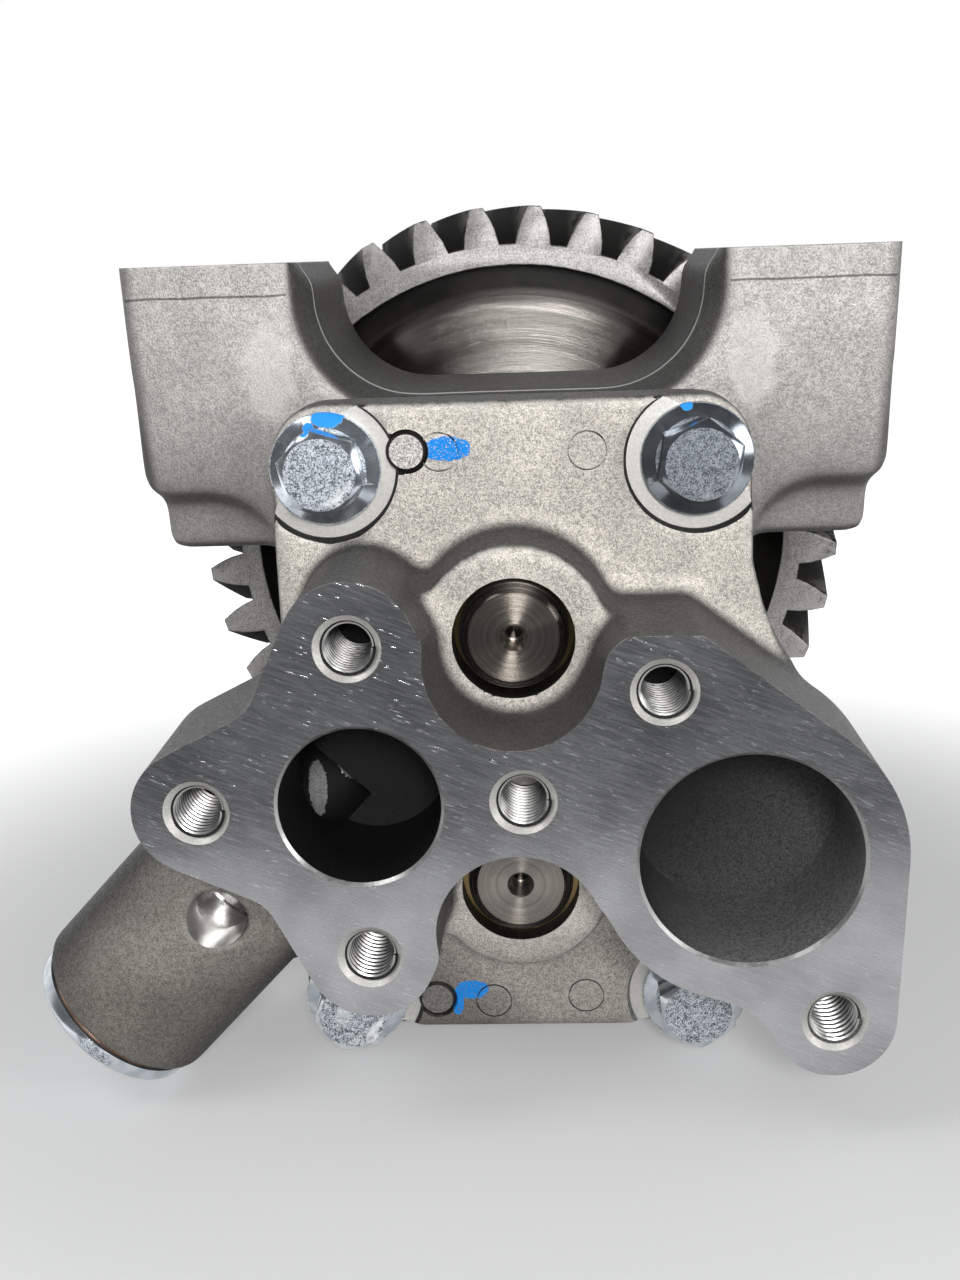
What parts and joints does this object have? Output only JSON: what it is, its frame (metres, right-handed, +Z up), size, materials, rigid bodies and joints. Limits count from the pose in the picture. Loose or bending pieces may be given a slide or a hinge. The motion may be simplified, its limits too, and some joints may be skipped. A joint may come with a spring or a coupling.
{
  "type": "engine oil pump",
  "caption": "Gear oil pump with a die-cast body, a butterfly pipe flange, a relief valve and a helical drive gear.",
  "frame": {"origin": "middle of the four mounting holes, on the machined mounting face of the two ears", "axes": "+Z up towards the engine block, +Y from the pipe flange to the drive gear, +X to the right seen from the pipe flange"},
  "size_m": [0.1827, 0.17, 0.1778],
  "materials": {
    "cast_body": "die-cast, dull",
    "cast_cover": "die-cast, shot-blasted, with milled faces",
    "shaft_steel": "turned",
    "pump_gear_steel": "ground",
    "key_steel": "bright",
    "gear_steel": "hobbed and turned, dull",
    "bronze": "bored",
    "zinc_plate": "zinc-plated, bluish",
    "pin_steel": "ground",
    "spring_steel": "drawn",
    "copper": "soft"
  },
  "bodies": {
    "housing": {"pump_body": "cast_body", "pump_cover": "cast_cover", "cover_bolt_upper_left": "zinc_plate", "cover_bolt_upper_right": "zinc_plate", "cover_bolt_lower_left": "zinc_plate", "cover_bolt_lower_right": "zinc_plate", "dowel_pin_upper": "pin_steel", "dowel_pin_lower": "pin_steel", "cover_drive_bush": "bronze", "cover_driven_bush": "bronze", "body_drive_bush": "bronze", "body_driven_bush": "bronze", "thrust_washer": "bronze", "relief_spring": "spring_steel", "relief_plug": "zinc_plate", "plug_washer": "copper"},
    "drive_train": {"drive_shaft": "shaft_steel", "drive_pump_gear": "pump_gear_steel", "pump_gear_key": "key_steel", "drive_gear": "gear_steel", "drive_gear_key": "key_steel", "gear_washer": "zinc_plate", "gear_nut": "zinc_plate"},
    "driven_train": {"driven_shaft": "shaft_steel", "driven_pump_gear": "pump_gear_steel"},
    "valve": {"relief_piston": "shaft_steel"}
  },
  "joints": [
    {"name": "drive_spin", "type": "hinge", "parent": "housing", "child": "drive_train", "pos_m": [0, 0, -0.07], "axis": [0, 1, 0], "continuous": true},
    {"name": "driven_spin", "type": "hinge", "parent": "housing", "child": "driven_train", "pos_m": [0, 0, -0.122], "axis": [0, 1, 0], "continuous": true},
    {"name": "relief_slide", "type": "slide", "parent": "housing", "child": "valve", "axis": [-0.6871, 0, -0.7266], "range_m": [0, 0.012], "stiffness_N_per_m": 6000, "springref_m": -0.001, "deforming": ["relief_spring"]}
  ],
  "couplings": [
    {"joint": "driven_spin", "follows": "drive_spin", "ratio": -1}
  ]
}
